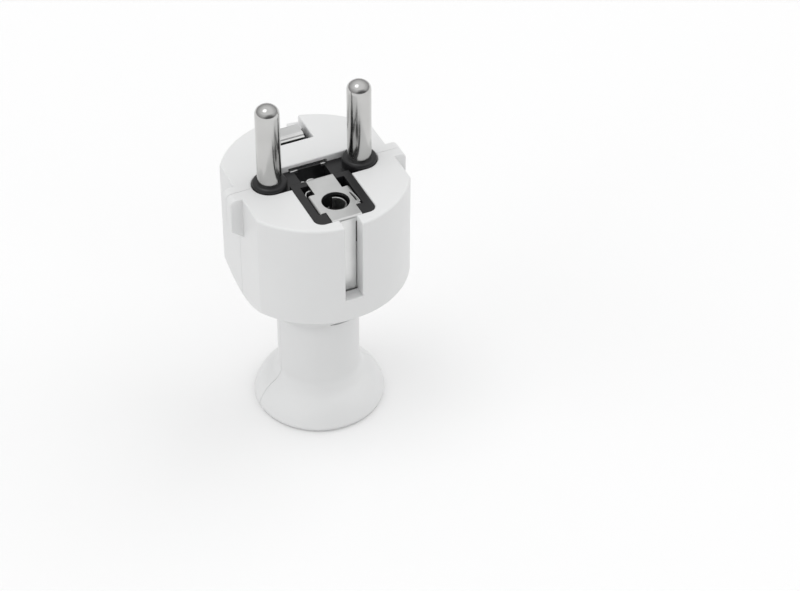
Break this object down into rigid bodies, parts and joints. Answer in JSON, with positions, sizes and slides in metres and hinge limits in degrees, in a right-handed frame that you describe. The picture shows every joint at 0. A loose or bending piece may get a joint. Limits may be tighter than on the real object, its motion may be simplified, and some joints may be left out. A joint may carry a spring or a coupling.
{
  "type": "type e and f power plug",
  "caption": "Rewirable straight power plug: round pins, a female earth contact in the face, side earth strips, a two-shell white housing and a flared cord end.",
  "frame": {"origin": "centre of the flat foot of the flared cord end, on the plug's axis", "axes": "+Z along the pins towards their tips, X across the pins, -Y towards the female earth contact"},
  "size_m": [0.0372, 0.0374, 0.0762],
  "materials": {
    "white_plastic": "satin moulded",
    "black_plastic": "moulded",
    "grey_plastic": "moulded",
    "nickel": "bright nickel plate",
    "sheet_steel": "nickel plated sheet",
    "brass": "turned",
    "screw_steel": "zinc plated"
  },
  "bodies": {
    "root": {"front_housing": "white_plastic", "rear_housing": "white_plastic", "pin_carrier": "black_plastic", "line_pin": "nickel", "neutral_pin": "nickel", "line_terminal": "brass", "neutral_terminal": "brass", "line_terminal_screw": "screw_steel", "neutral_terminal_screw": "screw_steel", "earth_plate": "sheet_steel", "earth_pin_spring": "sheet_steel", "rear_earth_strip": "sheet_steel", "earth_terminal": "brass", "earth_terminal_screw": "screw_steel", "earth_joint_screw": "screw_steel", "front_cord_jaw": "grey_plastic", "rear_cord_jaw": "grey_plastic", "housing_screw": "screw_steel", "housing_nut": "brass"}
  },
  "joints": []
}
